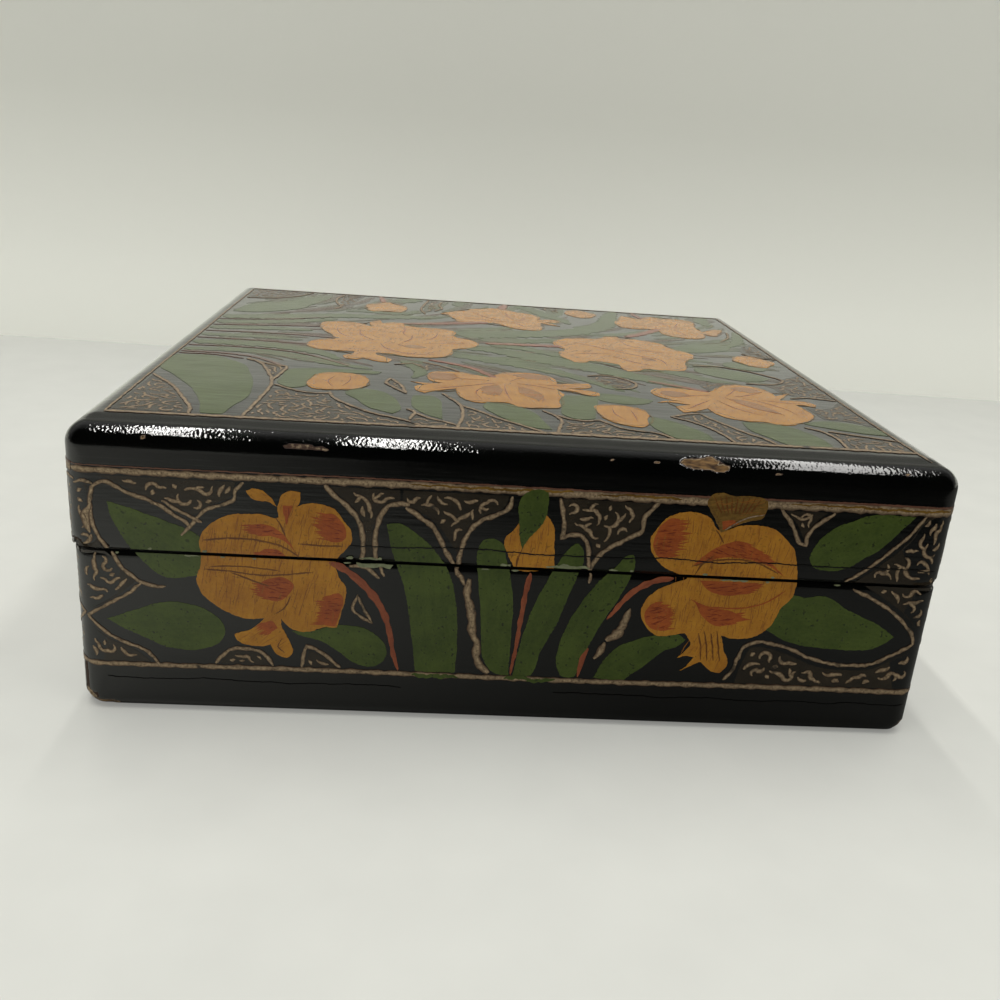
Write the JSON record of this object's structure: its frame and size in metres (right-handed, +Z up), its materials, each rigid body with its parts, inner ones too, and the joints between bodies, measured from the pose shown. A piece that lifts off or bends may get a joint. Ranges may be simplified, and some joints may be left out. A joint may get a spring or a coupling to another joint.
{
  "type": "hinged papier mache box",
  "caption": "Flat, nearly square lacquered papier mache keepsake box with a hinged lid over an inner lip, black with painted flowers, leaves and gilt tracery.",
  "frame": {"origin": "middle of the base's underside, on the surface that the box stands on", "axes": "+Z up; +Y along the longer side, away from the pictured wall; +X towards the hinges"},
  "size_m": [0.1576, 0.161, 0.0528],
  "materials": {
    "lacquered_board": "gloss",
    "liner_board": "satin",
    "hinge_brass": "satin",
    "nail_brass": "satin"
  },
  "bodies": {
    "base": {"bottom_board": "lacquered_board", "base_wall_front": "lacquered_board", "base_wall_back": "lacquered_board", "base_wall_left": "lacquered_board", "base_wall_right": "lacquered_board", "base_liner_front": "liner_board", "base_liner_back": "liner_board", "base_liner_left": "liner_board", "base_liner_right": "liner_board", "hinge_a_base_leaf": "hinge_brass", "hinge_b_base_leaf": "hinge_brass", "hinge_a_pin": "hinge_brass", "hinge_b_pin": "hinge_brass", "base_hinge_nails": "nail_brass"},
    "lid": {"top_board": "lacquered_board", "lid_wall_front": "lacquered_board", "lid_wall_back": "lacquered_board", "lid_wall_left": "lacquered_board", "lid_wall_right": "lacquered_board", "lid_liner_front": "liner_board", "lid_liner_back": "liner_board", "lid_liner_left": "liner_board", "lid_liner_right": "liner_board", "hinge_a_lid_leaf": "hinge_brass", "hinge_b_lid_leaf": "hinge_brass", "lid_hinge_nails": "nail_brass"}
  },
  "joints": [
    {"name": "lid_hinge", "type": "hinge", "parent": "base", "child": "lid", "pos_m": [0.07875, 0, 0.0312], "axis": [0, 1, 0], "range_deg": [0, 180]}
  ]
}
